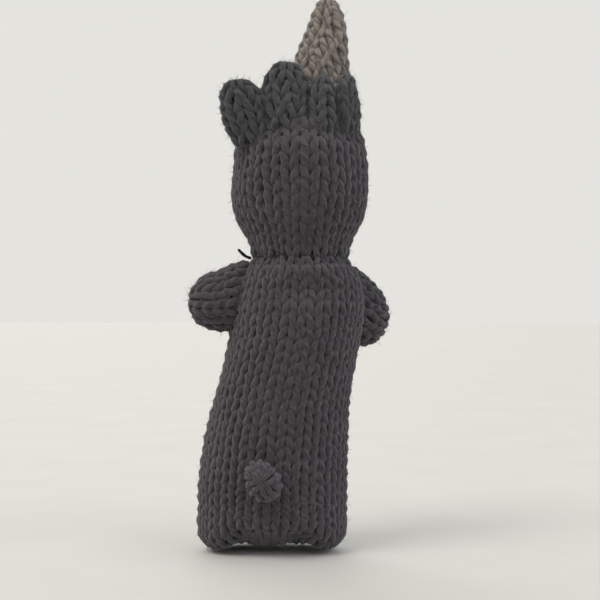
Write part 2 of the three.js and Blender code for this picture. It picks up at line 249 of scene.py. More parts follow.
def strand_object(name, strands, material, ply=PLY_DEPTH, closed=True):
    """One mesh of many strands, each (path, up vectors, radius), with its points and their ways outwards.

    Open strands narrow to a tip at both ends.
    """
    points, quads, uvs, outward, start = [], [], [], [], 0
    for path, up, radius in strands:
        if not closed:
            radius = np.broadcast_to(radius, (len(path),)).copy()
            radius[[0, -1]] *= 0.15
        p, q, uv, direction = sweep(path, up, radius, closed, ply)
        points.append(p)
        quads.append(q + start)
        uvs.append(uv)
        outward.append(direction)
        start += len(p)
    points = np.concatenate(points)
    obj = mesh_object(name, points, np.concatenate(quads), material, np.concatenate(uvs))
    return obj, points, np.concatenate(outward)


def fabric_layer(name, tube, start, material, around):
    """The matted sheet behind the loops, which carries the painted shade between them: a thin sheet at the
    middle of the fabric, to the end of the tube.
    """
    end = tube.length
    rows = max(6, int((end - start) / (1.2 * MM)))
    u, s = np.meshgrid(np.arange(around) / around, np.linspace(start, end, rows))
    points, normal = tube.point(u, s), tube.normal(u, s)
    faces = []
    outer, inner = points + normal * LAYER_THICKNESS / 2, points - normal * LAYER_THICKNESS / 2
    size = rows * around
    for r in range(rows - 1):
        for k in range(around):
            a, b = r * around + k, r * around + (k + 1) % around
            c, d = b + around, a + around
            faces.append((a, b, c, d))
            faces.append((size + d, size + c, size + b, size + a))
    for k in range(around):
        a, b = k, (k + 1) % around
        faces.append((size + a, size + b, b, a))
        a, b = (rows - 1) * around + k, (rows - 1) * around + (k + 1) % around
        faces.append((a, b, size + b, size + a))
    both = np.concatenate([outer.reshape(-1, 3), inner.reshape(-1, 3)])
    return mesh_object(name, both, faces, material)


def knit(tube, start, end, pitch, wales_at, seed, radius=YARN_RADIUS):
    """Courses of stockinette loops over a tube, from one place along it to another.

    The yarn is drawn a little thinner where the stitches are narrow.
    """
    rng = np.random.default_rng(seed)
    rows = max(1, round((end - start) / pitch))
    pitch = (end - start) / rows
    courses = []
    for row in range(rows):
        middle = start + (row + 0.5) * pitch
        wales = wales_at(middle)
        t = np.arange(wales * POINTS_PER_STITCH) * TAU / POINTS_PER_STITCH

        def wander(amount):
            each = rng.normal(0, amount, wales)
            return np.interp(t / TAU, np.arange(wales + 1), [*each, each[0]])

        u = (t + LOOP_SWAY * np.sin(2 * t)) / (TAU * wales) + wander(0.035) / wales
        rise = LOOP_RISE * pitch * np.cos(t) * (1 + wander(0.05))
        s = np.clip(middle + rise + wander(0.03) * pitch, 0, tube.length)
        normal = tube.normal(u, s)
        path = tube.point(u, s) + normal * (-LOOP_DEPTH * np.cos(2 * t) + wander(0.05 * MM))[:, None]
        stitch = tube.girth(middle) / wales
        tight = np.clip(stitch / (3.9 * radius), 0.72, 1.08)
        courses.append((path, normal, radius * tight * (1 + wander(0.04))))
    return courses


def fuzz_object(name, points, outward, count, seed, material):
    """Loose fibres standing off a strand's surface."""
    rng = np.random.default_rng(seed)
    pick = rng.integers(0, len(points), count)
    root, away = points[pick], outward[pick]
    heading = unit(away * 0.5 + rng.normal(0, 0.5, (count, 3)))
    curl = rng.normal(0, 0.8, (count, 3))
    reach = FUZZ_LENGTH * (rng.uniform(0.4, 1.1, (count, 1)) + rng.exponential(0.16, (count, 1)))
    steps = np.linspace(0, 1, 3)
    paths = [root + heading * reach * x + curl * reach * x * x * 0.6 for x in steps]
    paths = np.stack(paths, 1)
    tangent = unit(np.gradient(paths, axis=1))
    side = unit(np.cross(tangent, unit(rng.normal(size=(count, 1, 3)))))
    over = np.cross(tangent, side)
    sides = FUZZ_SIDES
    theta = (np.arange(sides) * TAU / sides)[:, None]
    width = FUZZ_RADIUS * np.array([1, 0.8, 0.25])[None, :, None, None]
    ring = np.cos(theta) * side[:, :, None] + np.sin(theta) * over[:, :, None]
    verts = (paths[:, :, None] + ring * width).reshape(-1, 3)
    verts[:, 2] = np.maximum(verts[:, 2], 0)
    one = []
    for i in range(len(steps) - 1):
        for k in range(sides):
            a, b = i * sides + k, i * sides + (k + 1) % sides
            one.append((a, b, b + sides, a + sides))
    per = len(steps) * sides
    faces = (np.array(one)[None] + (np.arange(count) * per)[:, None, None]).reshape(-1, 4)
    return mesh_object(name, verts, faces, material)


# ---- materials ----


class Nodes:
    """A material's node tree, with short calls for what the materials here repeat."""

    def __init__(self, name, roughness, sheen=0.0, sheen_tint=(1, 1, 1)):
        self.material = bpy.data.materials.new(name)
        self.material.use_nodes = True
        self.tree = self.material.node_tree
        self.shader = self.tree.nodes["Principled BSDF"]
        self.shader.inputs["Roughness"].default_value = roughness
        self.shader.inputs["Sheen Weight"].default_value = sheen
        self.shader.inputs["Sheen Roughness"].default_value = 0.45
        self.shader.inputs["Sheen Tint"].default_value = (*sheen_tint, 1)
        self.shader.inputs["Specular IOR Level"].default_value = 0.25

    def add(self, kind, **values):
        node = self.tree.nodes.new(kind)
        for key, value in values.items():
            setattr(node, key, value)
        return node

    def link(self, source, target):
        self.tree.links.new(source, target)

    def maths(self, operation, a, b=None):
        node = self.add("ShaderNodeMath", operation=operation)
        for socket, value in zip(node.inputs, (a, b)):
            if value is None:
                continue
            if isinstance(value, (int, float)):
                socket.default_value = value
            else:
                self.link(value, socket)
        return node.outputs[0]

    def noise(self, vector, scale, detail=3.0, rough=0.6):
        node = self.add("ShaderNodeTexNoise")
        node.inputs["Scale"].default_value = scale
        node.inputs["Detail"].default_value = detail
        node.inputs["Roughness"].default_value = rough
        self.link(vector, node.inputs["Vector"])
        return node.outputs["Fac"]

    def ramp(self, value, stops):
        node = self.add("ShaderNodeValToRGB")
        while len(node.color_ramp.elements) < len(stops):
            node.color_ramp.elements.new(0.5)
        for element, (place, colour) in zip(node.color_ramp.elements, stops):
            element.position = place
            element.color = (*colour, 1)
        self.link(value, node.inputs["Fac"])
        return node.outputs["Color"]

    def mix(self, factor, a, b, blend="MIX"):
        node = self.add("ShaderNodeMix", data_type="RGBA", blend_type=blend)
        for socket, value in ((node.inputs["Factor"], factor), (node.inputs["A"], a), (node.inputs["B"], b)):
            if isinstance(value, (int, float)):
                socket.default_value = value
            elif isinstance(value, tuple):
                socket.default_value = (*value, 1)
            else:
                self.link(value, socket)
        return node.outputs["Result"]

    def colour(self, socket):
        self.link(socket, self.shader.inputs["Base Color"])

    def bump(self, height, strength, distance):
        node = self.add("ShaderNodeBump")
        node.inputs["Strength"].default_value = strength
        node.inputs["Distance"].default_value = distance
        self.link(height, node.inputs["Height"])
        self.link(node.outputs["Normal"], self.shader.inputs["Normal"])


def scaled(colour, factor):
    return tuple(c * factor for c in colour)


def yarn_material(name, plies, bare_fibre, sheen):
    """Twisted yarn: the two plies' colours follow the twist, with single fibres running along them."""
    n = Nodes(name, 0.92, sheen, (0.9, 0.88, 0.95))
    coordinates = n.add("ShaderNodeTexCoord")
    split = n.add("ShaderNodeSeparateXYZ")
    n.link(coordinates.outputs["UV"], split.inputs["Vector"])
    turn = n.maths("SUBTRACT", split.outputs["Y"], split.outputs["X"])
    ply = n.maths("SINE", n.maths("MULTIPLY", turn, 2 * TAU))

    def along_fibres(across, lengthwise, shift):
        vector = n.add("ShaderNodeCombineXYZ")
        n.link(n.maths("MULTIPLY", turn, across), vector.inputs["X"])
        n.link(n.maths("MULTIPLY", split.outputs["X"], lengthwise), vector.inputs["Y"])
        vector.inputs["Z"].default_value = shift
        return vector.outputs["Vector"]

    fibres = n.noise(along_fibres(26.0, 3.0, 0.0), 1.0, 5.0, 0.72)
    pale_fibres = n.noise(along_fibres(34.0, 5.0, 7.3), 1.0, 3.0, 0.6)
    drift = n.noise(coordinates.outputs["Object"], 130.0, 2.0, 0.5)
    first, second = plies
    base = n.mix(n.ramp(ply, [(0.0, (0, 0, 0)), (1.0, (1, 1, 1))]), first, second)
    flecked = n.mix(n.ramp(pale_fibres, [(0.60, (0, 0, 0)), (0.74, (0.75,) * 3)]), base, bare_fibre)
    streaked = n.mix(0.85, flecked, n.ramp(fibres, [(0.34, (0.25,) * 3), (0.64, (1.15,) * 3)]), "MULTIPLY")
    toned = n.mix(0.6, streaked, n.ramp(drift, [(0.3, (0.7,) * 3), (0.7, (1.05,) * 3)]), "MULTIPLY")
    n.colour(toned)
    n.bump(n.maths("ADD", fibres, n.maths("MULTIPLY", pale_fibres, 0.5)), 1.0, 0.25 * MM)
    return n.material


def painted_shade_material(name, colour):
    """The felted sheet between the loops. The colour it is given is far darker than its yarn's, as painted
    shade in the gaps.
    """
    n = Nodes(name, 1.0, 0.15)
    place = n.add("ShaderNodeTexCoord").outputs["Object"]
    wool = n.noise(place, 900.0, 5.0, 0.7)
    n.colour(n.ramp(wool, [(0.3, scaled(colour, 0.5)), (0.75, scaled(colour, 1.3))]))
    n.bump(wool, 0.9, 0.3 * MM)
    return n.material


def fibrefill_material(name):
    """Loose white polyester fibre."""
    n = Nodes(name, 1.0, 0.2)
    place = n.add("ShaderNodeTexCoord").outputs["Object"]
    wool = n.noise(place, 700.0, 6.0, 0.75)
    n.colour(n.ramp(wool, [(0.25, (0.62, 0.60, 0.55)), (0.7, (0.86, 0.85, 0.81))]))
    n.bump(wool, 1.0, 0.6 * MM)
    return n.material


def fuzz_material(name, dark, light):
    """Single fibres, some paler than others."""
    n = Nodes(name, 0.8, 0.2)
    place = n.add("ShaderNodeTexCoord").outputs["Object"]
    n.colour(n.ramp(n.noise(place, 1500.0, 2.0), [(0.35, dark), (0.7, light)]))
    return n.material


def bead_material(name):
    """Polished black glass or plastic with faint scuffs."""
    n = Nodes(name, 0.12)
    n.shader.inputs["Specular IOR Level"].default_value = 0.4
    place = n.add("ShaderNodeTexCoord").outputs["Object"]
    scuffs = n.noise(place, 1800.0, 4.0, 0.7)
    n.colour(n.ramp(scuffs, [(0.3, (0.006, 0.006, 0.008)), (0.8, (0.016, 0.015, 0.018))]))
    n.link(n.ramp(scuffs, [(0.45, (0.08,) * 3), (0.75, (0.3,) * 3)]), n.shader.inputs["Roughness"])
    return n.material


def floor_material(name):
    n = Nodes(name, 0.75)
    place = n.add("ShaderNodeTexCoord").outputs["Object"]
    pale, paler = (0.515, 0.51, 0.49), (0.54, 0.535, 0.515)
    n.colour(n.ramp(n.noise(place, 30.0, 4.0, 0.6), [(0.3, pale), (0.7, paler)]))
    return n.material


CHARCOAL = (0.078, 0.071, 0.082)
# Ears and crown lobes: a greener grey than the charcoal, made lighter as painted light where they tilt up
# towards the light.
EAR_GREY_PAINTED_LIGHT = (0.078, 0.081, 0.086)
charcoal = yarn_material("charcoal_yarn", (CHARCOAL, scaled(CHARCOAL, 0.7)), (0.22, 0.21, 0.23), 0.3)
ear_grey_painted_light = yarn_material("ear_yarn_painted_light", (EAR_GREY_PAINTED_LIGHT, scaled(EAR_GREY_PAINTED_LIGHT, 0.7)), (0.23, 0.235, 0.24), 0.3)
marl = yarn_material("marled_horn_yarn", ((0.34, 0.29, 0.25), (0.16, 0.145, 0.145)), (0.5, 0.46, 0.42), 0.25)
thread = yarn_material("dark_thread", ((0.018, 0.016, 0.02), (0.014, 0.013, 0.016)), (0.04, 0.04, 0.045), 0.2)
# Far darker than their yarns: painted shade between the loops, on the sheets behind them.
painted_shade_charcoal = painted_shade_material("painted_shade_charcoal", (0.016, 0.015, 0.017))
painted_shade_marl = painted_shade_material("painted_shade_marl", (0.09, 0.08, 0.07))
charcoal_fuzz = fuzz_material("charcoal_fuzz", (0.05, 0.047, 0.055), (0.16, 0.155, 0.17))
marl_fuzz = fuzz_material("marl_fuzz", (0.22, 0.2, 0.18), (0.5, 0.46, 0.42))
charcoal_wool = (charcoal, painted_shade_charcoal, charcoal_fuzz)
ear_wool_painted_light = (ear_grey_painted_light, painted_shade_charcoal, charcoal_fuzz)
marl_wool = (marl, painted_shade_marl, marl_fuzz)
fibrefill = fibrefill_material("fibrefill")
bead_black = bead_material("bead_black")


# ---- reading the frame ----


def vertices_of(node):
    return np.array([v.co for v in frame["nodes"][node].data.vertices], float)


def tree_of(node):
    mesh = frame["nodes"][node].data
    return BVHTree.FromPolygons([v.co for v in mesh.vertices], [p.vertices for p in mesh.polygons])


def level_ring(tree, centre, height, inset):
    """The oval ring of a node's outside at a height, drawn in by the inset."""
    far = 50 * MM
    reach = {}
    for key, direction in (("+x", (1, 0, 0)), ("-x", (-1, 0, 0)), ("+y", (0, 1, 0)), ("-y", (0, -1, 0))):
        out = Vector(direction)
        reach[key] = tree.ray_cast(Vector((centre[0], centre[1], height)) + out * far, -out)[0]
    middle = np.array([(reach["+x"].x + reach["-x"].x) / 2, (reach["+y"].y + reach["-y"].y) / 2, height])
    half_width = (reach["+x"].x - reach["-x"].x) / 2 - inset
    half_depth = (reach["+y"].y - reach["-y"].y) / 2 - inset
    return [middle, [half_width, 0, 0], [0, half_depth, 0]]


def joint_point(name):
    return np.array(joints[name]["pos_m"], float)


neck = joint_point("neck_nod")
body_low, body_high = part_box("body_tube")
head_low, head_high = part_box("head_skin")


# ---- the body and the head ----


ARCH_TOP = 14.2 * MM
ARCH_ENDS = 0.375  # cosine of the angle from straight back at which the arch starts to rise
ARCH_CROWN = 0.87  # and of the angle from which it is fully raised
TURNED_IN = 0.75  # share of the foot's half-width within which the hem counts as its turned-in edge
TURNED_IN_FADE = 0.08
EDGE_SET_IN = 3.5 * MM  # how much further in the turned-in edge lies under the arch
TUBE_BOW = 0.6 * MM  # how far the tube bows sideways at mid height
# Height and how far the fabric is drawn in, in millimetres, from the turned-in edge round the roll and up.
HEM_ROLL = ((5.4, 3.6), (4.0, 3.9), (2.8, 3.5), (2.0, 2.6), (2.0, 1.5), (2.9, 0.5), (4.6, 0.0), (7.2, 0.1))


def body_rings():
    """Rings up the tube, from the turned-in hem to the gathered neck."""
    tree = tree_of("body_tube")
    points = vertices_of("body_tube")
    open_top = points[np.abs(points[:, 0] - neck[0]) < 3 * MM, 2].max()
    rings, centre = [], [(body_low.x + body_high.x) / 2, (body_low.y + body_high.y) / 2]
    for height in np.linspace(ARCH_TOP, open_top - 0.3 * MM, 11):
        ring = level_ring(tree, centre, height, FABRIC_INSET)
        centre = list(ring[0][:2])
        ring[0][0] += TUBE_BOW * math.exp(-(((height - 34 * MM) / (9 * MM)) ** 2))
        rings.append(ring)
    foot = points[points[:, 2] < 9 * MM]
    low, high = foot.min(0), foot.max(0)
    half = (high - low) / 2 - FABRIC_INSET
    middle = (low + high) / 2
    hem = []
    for height, drawn_in in HEM_ROLL:
        centre = np.array([middle[0], middle[1], height * MM])
        hem.append([centre, [half[0] - drawn_in * MM, 0, 0], [0, half[1] - drawn_in * MM, 0]])
    waist = neck_radius()
    top = []
    for below, wider in ((3.6, 2.0), (1.5, 0.5), (0, 0)):
        radius = waist + wider * MM
        top.append([neck - [0, 0, below * MM], [radius, 0, 0], [0, radius, 0]])
    return hem + rings + top


def neck_radius():
    """From the middle of the neck to the middle of the fabric under the gathering thread."""
    low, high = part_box("neck_gather_thread")
    return (high.x - low.x) / 2 - 1.45 * MM


def head_rings():
    """Rings up the head, from the gathered neck to the closed crown."""
    tree = tree_of("head_skin")
    centre = [(head_low.x + head_high.x) / 2, (head_low.y + head_high.y) / 2]
    waist = neck_radius()
    rings = [[neck, [waist, 0, 0], [0, waist, 0]]]
    rings.append([neck + [0, 0, 1.8 * MM], [waist + 0.3 * MM, 0, 0], [0, waist + 0.3 * MM, 0]])
    span = head_high.z - FABRIC_INSET - head_low.z
    for share in (0.06, 0.2, 0.34, 0.48, 0.62, 0.74, 0.84, 0.92, 0.97):
        ring = level_ring(tree, centre, head_low.z + share * span, 0.0)
        inset = FABRIC_INSET * (1 - 0.55 * share**4) + 0.9 * MM * (1 - share) ** 8
        ring[1][0] -= inset
        ring[2][1] -= inset
        ring[0][2] -= FABRIC_INSET * share**6
        rings.append(ring)
    top = rings[-1][0] * [1, 1, 0] + [0, 0, head_high.z - FABRIC_INSET]
    rings.append([top, [0.3 * MM, 0, 0], [0, 0.3 * MM, 0]])
    return rings


def hem_arch(points):
    """Lifts the back of the hem off the floor, as the frame's hem does.

    Its turned-in edge stays down and lies further in.
    """
    rim = vertices_of("body_tube")
    foot = rim[rim[:, 2] < 1 * MM]
    centre = np.array([(foot[:, 0].min() + foot[:, 0].max()) / 2, neck[1]])
    back = rim[(np.abs(rim[:, 0] - centre[0]) < 2 * MM) & (rim[:, 1] > centre[1])]
    rise = back[:, 2].min()
    offset = points[..., :2] - centre
    towards_back = offset[..., 1] / np.maximum(np.linalg.norm(offset, axis=-1), 1e-6)
    half = centre - foot.min(0)[:2]
    hanging = smoothstep((TURNED_IN - np.linalg.norm(offset / half, axis=-1)) / TURNED_IN_FADE)
    arch = smoothstep((towards_back - ARCH_ENDS) / (ARCH_CROWN - ARCH_ENDS))
    arch = arch * np.clip(1 - points[..., 2] / ARCH_TOP, 0, 1)
    lifted = points.copy()
    lifted[..., 2] += rise * arch * (1 - 1.05 * hanging)
    lifted[..., 1] -= EDGE_SET_IN * arch * hanging
    return lifted


def gathers(strength, wales, middle, spread):
    """Pleats between alternate wales where the fabric is drawn in, fading away from the gathering thread."""
    uneven = lumps(7, 0.28 * MM, 16 * MM)

    def relief(points, u, s):
        near = np.exp(-(((points[..., 2] - middle) / spread) ** 2))
        pleat = -strength * near * (0.5 + 0.5 * np.cos(TAU * u * wales / 2))
        return pleat + uneven(points)

    return relief


def head_relief(points, u, s):
    """Gathers at the neck, lumps of the stuffing, the groove behind the ears, and dimples at the eyes."""
    pleats = gathers(0.7 * MM, HEAD_WALES, neck[2], 3.2 * MM)(points, u, s)
    groove_height = joint_point("left_ear_flop")[2]
    behind = smoothstep((points[..., 1] - neck[1]) / (8 * MM))
    groove = -0.9 * MM * behind * np.exp(-(((points[..., 2] - groove_height) / (1.3 * MM)) ** 2))
    dimples = 0.0
    for side in ("left", "right"):
        low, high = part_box(side + "_eye_bead")
        away = np.linalg.norm(points - np.array((low + high) / 2), axis=-1)
        dimples = dimples - 0.5 * MM * np.exp(-((away / (2.6 * MM)) ** 2))
    return pleats + groove + dimples + lumps(11, 0.35 * MM, 13 * MM)(points)


def knitted_piece(name, tube, courses, wool, fuzz_count, seed, around, layer_start=0.0):
    """The three objects of one knitted piece: its yarn, the sheet of painted shade behind it and its loose
    fibres.
    """
    yarn, layer, fuzz = wool
    strands, points, outward = strand_object(name + "_yarn", courses, yarn)
    sheet = fabric_layer(name + "_fabric", tube, layer_start, layer, around)
    hairs = fuzz_object(name + "_fuzz", points, outward, fuzz_count, seed, fuzz)
    return strands, sheet, hairs


def across(pieces, first, second, start, end, slot):
    """Bakes each object's placement into its mesh."""
    for piece in pieces:
        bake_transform(piece)


def body_relief(points, u, s):
    """Gathers at the neck, and a dent where the tail's sewing pulls the fabric in below it."""
    pull = joint_point("tail_wag") + [2.4 * MM, 0, -2.8 * MM]
    dent = -1.6 * MM * np.exp(-((np.linalg.norm(points - pull, axis=-1) / (2.8 * MM)) ** 2))
    return gathers(0.7 * MM, BODY_WALES, neck[2], 3.0 * MM)(points, u, s) + dent


def make_body():
    tube = Tube(body_rings(), body_relief, hem_arch)
    courses = knit(tube, 1.2 * MM, tube.length, BODY_ROW, lambda s: BODY_WALES, 1)
    pieces = knitted_piece("body", tube, courses, charcoal_wool, 16000, 2, 96, 0.4 * MM)
    across(pieces, "body", "neck", neck - [0, 0, 8 * MM], neck, "charcoal_yarn")
    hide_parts("body_tube")


def make_head():
    tube = Tube(head_rings(), head_relief)

    def wales_at(s):
        for wales in (HEAD_WALES, HEAD_WALES // 2, 6):
            if tube.girth(s) / wales > 2.3 * MM:
                return wales
        return 4

    courses = knit(tube, 0.0, tube.length - 0.8 * MM, HEAD_ROW, wales_at, 3, HEAD_YARN_RADIUS)
    pieces = knitted_piece("head", tube, courses, charcoal_wool, 12000, 4, 96)
    across(pieces, "neck", "head", neck, neck + [0, 0, 7 * MM], "charcoal_yarn")
    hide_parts("head_skin", "neck_band")


# ---- sewn-on pieces ----


def own_axes(node, root):
    """A lobe's own axes and sizes, from its solid and the point where it is sewn on."""
    points = vertices_of(node)
    low, high = points.min(0), points.max(0)
    up = unit((low + high) / 2 - root)
    flat = points - root
    flat = flat - (flat @ up)[:, None] * up
    directions = np.linalg.svd(flat - flat.mean(0), full_matrices=False)[2]
    width_axis, depth_axis = directions[0], np.cross(up, directions[0])
    width = np.ptp(flat @ width_axis) / 2
    depth = np.ptp(flat @ depth_axis) / 2
    reach = ((points - root) @ up).max()
    offset = (flat.max(0) + flat.min(0)) / 2
    return up, width_axis, depth_axis, width, depth, reach, offset


def half_axis(half, wide, inset=FABRIC_INSET):
    """A ring's half-axis, drawn in to the middle of the fabric, but less so where the piece closes."""
    return max(CLOSED_RADIUS, half - inset * min(1, wide * 1.6))


ROUND_LOBE = (
    (0, 0.8), (0.12, 0.88), (0.27, 0.98), (0.44, 1.0), (0.62, 1.0), (0.78, 0.91), (0.9, 0.72), (0.97, 0.42),
    (1, 0.04),
)


def lobe_tube(node, root, sink, relief, swell, widen=1.0, lean=(0, 0, 0), shift=(0, 0, 0), kick=0.0):
    """A rounded tube along a lobe's own axis, from the sink below its root to its tip.

    It is fuller than the solid by swell and wider still by widen. The tip moves by lean, the whole lobe by
    shift, and the root backwards by kick.
    """
    up, width_axis, _, width, depth, reach, offset = own_axes(node, root)
    rings = []
    for along, wide in ROUND_LOBE:
        travel = -sink + (reach + sink - FABRIC_INSET * 0.8) * along
        a = half_axis(width * swell * widen * wide, wide)
        b = half_axis(depth * swell * wide, wide)
        centre = root + up * travel + offset * min(1, along * 2) + np.array(lean) * along**2 + shift
        centre = centre + [0, kick * (1 - along) ** 2, 0]
        rings.append([centre, width_axis * a, np.cross(up, width_axis) * b])
    return Tube(rings, relief)


def closing_wales(tube, stitch, least=4):
    """Wales for each course of a closed piece: fewer as its girth falls."""

    def wales_at(s):
        return max(least, round(tube.girth(s) / stitch))

    return wales_at


def knitted_lobe(name, root, sink, seed, shape):
    tube = lobe_tube(name, root, sink, lumps(seed, 0.3 * MM, 7 * MM), **shape)
    wales_at = closing_wales(tube, LOBE_STITCH)
    courses = knit(tube, 0.3 * MM, tube.length - 0.5 * MM, LOBE_ROW, wales_at, seed, LOBE_YARN_RADIUS)
    return knitted_piece(name, tube, courses, ear_wool_painted_light, 2500, seed + 1, 40)


def make_ears():
    shapes = {
        "left_ear": dict(swell=0.96, lean=(2.1 * MM, 0, 0), shift=(-0.8 * MM, 0, 0), widen=1.1),
        "right_ear": dict(swell=0.94, lean=(0.7 * MM, 0, 0), shift=(0.6 * MM, 0, 0)),
    }
    for name, seed in (("left_ear", 21), ("right_ear", 31)):
        root = joint_point(name + "_flop")
        up = own_axes(name, root)[0]
        pieces = knitted_lobe(name, root, 1.6 * MM, seed, shapes[name])
        across(pieces, "head", name, root - up * 0.5 * MM, root + up * 3.5 * MM, "charcoal_yarn")
        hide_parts(name)


def make_crown_lobes():
    shapes = {
        "crown_lobe_left": dict(swell=1.12, widen=1.2, shift=(1.0 * MM, 0, -0.4 * MM), kick=2.6 * MM),
        "crown_lobe_right": dict(swell=1.14, widen=1.1, kick=2.6 * MM),
    }
    for name, seed in (("crown_lobe_left", 41), ("crown_lobe_right", 51)):
        low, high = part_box(name)
        root = np.array([(low.x + high.x) / 2, (low.y + high.y) / 2 - 0.5 * MM, low.z])
        pieces = knitted_lobe(name, root, 5.2 * MM, seed, shapes[name])
        for piece in pieces:
            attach(piece, "head")
        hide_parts(name)


HORN_PROFILE = (
    (0, 1.0), (0.1, 0.99), (0.26, 0.95), (0.45, 0.86), (0.64, 0.72), (0.8, 0.56), (0.92, 0.38), (0.98, 0.2),
    (1, 0.05),
)


def make_horn():
    """A cone whose lowest courses follow the slope of the head, its rows slanting less towards the tip."""
    root = joint_point("horn_tilt")
    points = vertices_of("horn_skin")
    tip = points[points[:, 2].argmax()]
    up = unit(tip - root)
    base = np.linalg.norm(np.cross(points - root, up), axis=-1).max()
    crown = tree_of("head_skin")

    def on_crown(dx, dy):
        return np.array(crown.ray_cast(Vector((root[0] + dx, root[1] + dy, 1.0)), Vector((0, 0, -1)))[0])

    left, right = on_crown(-base, 0), on_crown(base, 0)
    front, back = on_crown(0, -base), on_crown(0, base)
    foot = np.array([root[0], root[1], (left[2] + right[2] + front[2] + back[2]) / 4 - 1.6 * MM])
    slope_x, slope_y = (right[2] - left[2]) / (2 * base), (back[2] - front[2]) / (2 * base)
    top = tip - up * FABRIC_INSET * 0.7
    rings = []
    for along, wide in HORN_PROFILE:
        radius = half_axis(base * wide, wide)
        slant = (1 - along) ** 1.5 * 0.9 + 0.1
        centre = foot + (top - foot) * along + [0.5 * MM * math.sin(along * 5), 0, 0]
        rings.append([centre, [radius, 0, radius * slope_x * slant], [0, radius, radius * slope_y * slant]])
    tube = Tube(rings, lumps(61, 0.35 * MM, 9 * MM))
    wales_at = closing_wales(tube, HORN_STITCH, 5)
    courses = knit(tube, 0.4 * MM, tube.length - 0.5 * MM, HORN_ROW, wales_at, 62)
    pieces = knitted_piece("horn", tube, courses, marl_wool, 4500, 63, 48)
    across(pieces, "head", "horn", root - up * 0.5 * MM, root + up * 4 * MM, "horn_yarn")
    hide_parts("horn_skin")


ARM_PROFILE = (
    (-0.36, 0.8), (-0.14, 0.93), (0.05, 0.99), (0.24, 1.0), (0.44, 1.0), (0.62, 0.95), (0.78, 0.8),
    (0.9, 0.56), (0.97, 0.3), (1, 0.05),
)


def arm_rings(root, out, reach, thick, rise):
    """Rings along an arm. Its upper side runs on up to the neck as the slope of a shoulder."""
    level = unit(np.cross([0, 0, 1], out))
    upwards = np.cross(out, level)
    shoulder = rise * (neck[2] - root[2])
    rings = []
    for along, wide in ARM_PROFILE:
        radius = half_axis(thick * wide, wide)
        slope = shoulder * (1 - 0.5 * along) * math.sqrt(wide) - FABRIC_INSET
        top = max(radius, slope)
        centre = root + out * reach * along + upwards * (top - radius) / 2
        rings.append([centre, level * radius, upwards * (top + radius) / 2])
    return rings


def make_arms():
    for side, seed, rise in (("left", 71, 0.93), ("right", 81, 0.84)):
        name = side + "_arm"
        root = joint_point(name + "_swing")
        points = vertices_of(name + "_skin")
        out = unit((points.min(0) + points.max(0)) / 2 - root)
        reach = ((points - root) @ out).max() - FABRIC_INSET * 0.6
        thick = np.linalg.norm(np.cross(points - root, out), axis=-1).max() - 0.5 * MM
        tube = Tube(arm_rings(root, out, reach, thick, rise), lumps(seed, 0.35 * MM, 8 * MM))
        wales_at = closing_wales(tube, ARM_STITCH, 5)
        courses = knit(tube, 0.3 * MM, tube.length - 0.5 * MM, ARM_ROW, wales_at, seed)
        pieces = knitted_piece(name, tube, courses, charcoal_wool, 4000, seed + 1, 48)
        across(pieces, "body", name, root - out * 1.0 * MM, root + out * 3.5 * MM, "charcoal_yarn")
        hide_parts(name + "_skin")


TAIL_PROFILE = (
    (0, 0.7), (0.16, 0.9), (0.34, 1.04), (0.55, 1.06), (0.73, 0.95), (0.87, 0.7), (0.96, 0.38), (1, 0.05),
)
TAIL_SLANT = math.radians(30)


def make_tail():
    root = joint_point("tail_wag")
    out = np.array([0, 1.0, 0])
    points = vertices_of("tail_bobble")
    reach = ((points - root) @ out).max()
    radius = (points[:, 2].max() - points[:, 2].min()) / 2
    short_way = np.array([-math.cos(TAIL_SLANT), 0, math.sin(TAIL_SLANT)])
    long_way = np.cross(out, short_way)
    rings = []
    for along, wide in TAIL_PROFILE:
        short, long = (half_axis(radius * swell * wide, wide, 0.9 * MM) for swell in (1.02, 1.3))
        centre = root + out * (-0.6 * MM + (reach + 0.1 * MM) * along)
        rings.append([centre, short_way * short, long_way * long])
    tube = Tube(rings, lumps(91, 0.3 * MM, 5 * MM))
    wales_at = closing_wales(tube, TAIL_STITCH)
    courses = knit(tube, 0.3 * MM, tube.length - 0.3 * MM, TAIL_ROW, wales_at, 92, TAIL_YARN_RADIUS)
    pieces = knitted_piece("tail", tube, courses, charcoal_wool, 1600, 93, 36)
    across(pieces, "body", "tail", root - out * 0.5 * MM, root + out * 2 * MM, "charcoal_yarn")
    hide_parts("tail_bobble")


# ---- the face ----


MUZZLE_PROFILE = ((0, 0.98), (0.3, 1.02), (0.55, 1.02), (0.76, 0.98), (0.9, 0.86), (0.97, 0.6), (1, 0.05))


def make_muzzle():
    low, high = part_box("muzzle_skin")
    middle = np.array([(low.x + high.x) / 2, high.y + 2.2 * MM, (low.z + high.z) / 2])
    width, height = (high.x - low.x) / 2, (high.z - low.z) / 2
    rings = []
    for along, wide in MUZZLE_PROFILE:
        a, b = half_axis(width * wide, wide), half_axis(height * wide, wide)
        y = middle[1] + (low.y + FABRIC_INSET * 0.8 - middle[1]) * along
        rings.append([[middle[0], y, middle[2]], [a, 0, 0], [0, 0, b]])
    tube = Tube(rings, lumps(101, 0.25 * MM, 7 * MM))
    wales_at = closing_wales(tube, MUZZLE_STITCH, 5)
    courses = knit(tube, 0.5 * MM, tube.length - 0.4 * MM, MUZZLE_ROW, wales_at, 102, MUZZLE_YARN_RADIUS)
    pieces = knitted_piece("muzzle", tube, courses, marl_wool, 2200, 103, 40)
    for piece in pieces:
        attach(piece, "head")
    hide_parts("muzzle_skin")


